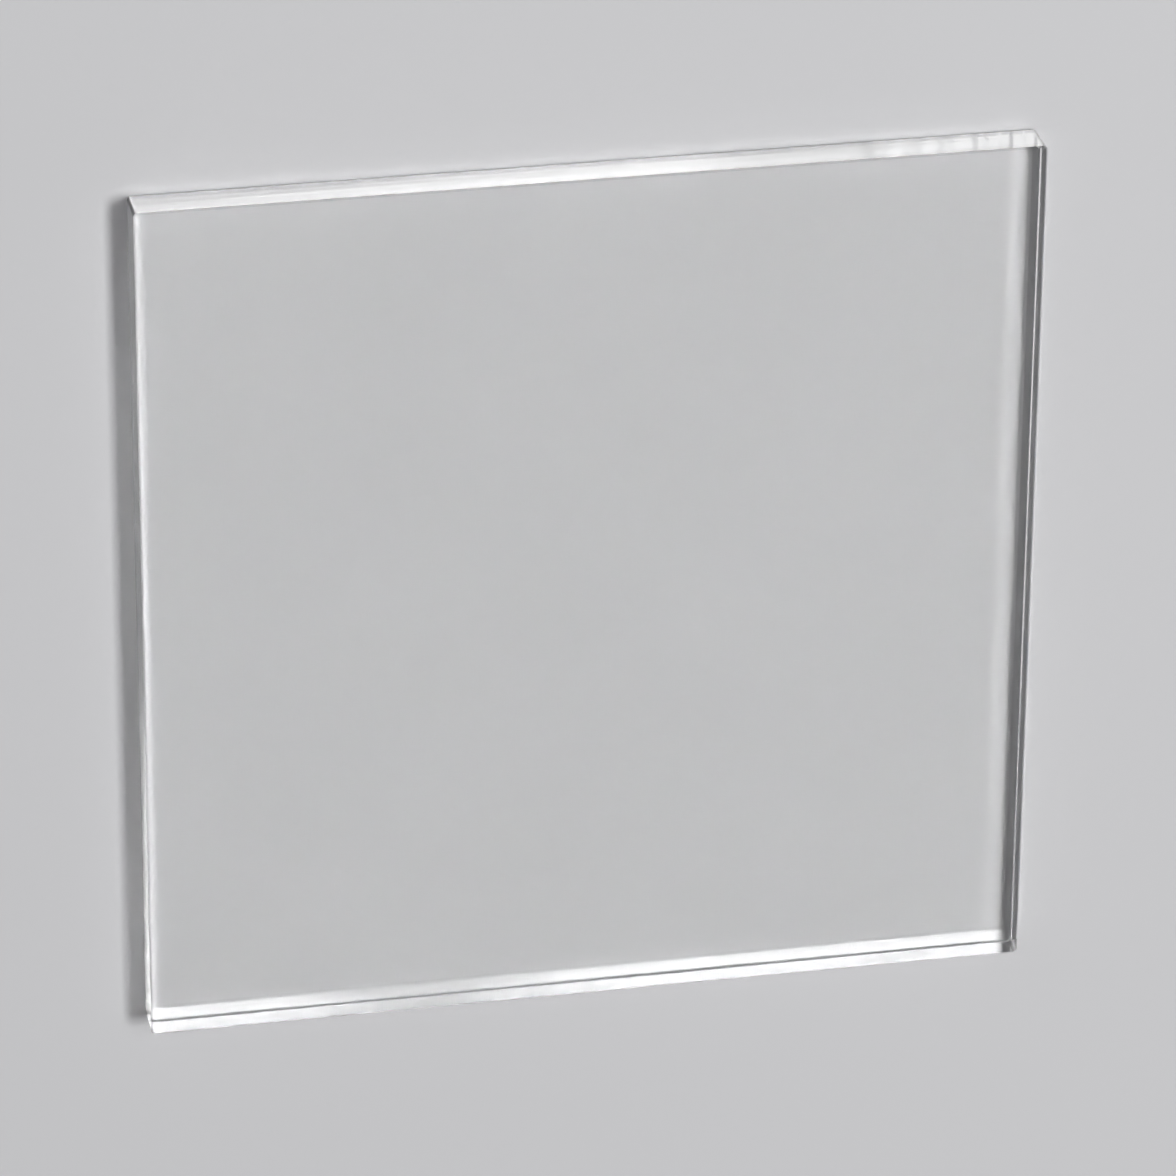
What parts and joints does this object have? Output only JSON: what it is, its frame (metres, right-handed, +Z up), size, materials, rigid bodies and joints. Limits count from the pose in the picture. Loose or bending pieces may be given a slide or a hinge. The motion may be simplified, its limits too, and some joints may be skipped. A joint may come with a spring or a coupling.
{
  "type": "clear acrylic sheet",
  "caption": "Small square of clear, colourless cast acrylic, lying flat, with polished edges and lightly bevelled rims; a flat panel to glaze, cover, cut or bond.",
  "frame": {"origin": "middle of the lower face, which the sheet rests on", "axes": "+Z is up, out of the upper face, along the thickness; X and Y run along the sides of the square"},
  "size_m": [0.1, 0.1, 0.005],
  "materials": {
    "acrylic": "clear and colourless, glossy cast faces, polished edges"
  },
  "bodies": {
    "root": {"acrylic_sheet": "acrylic"}
  },
  "joints": []
}
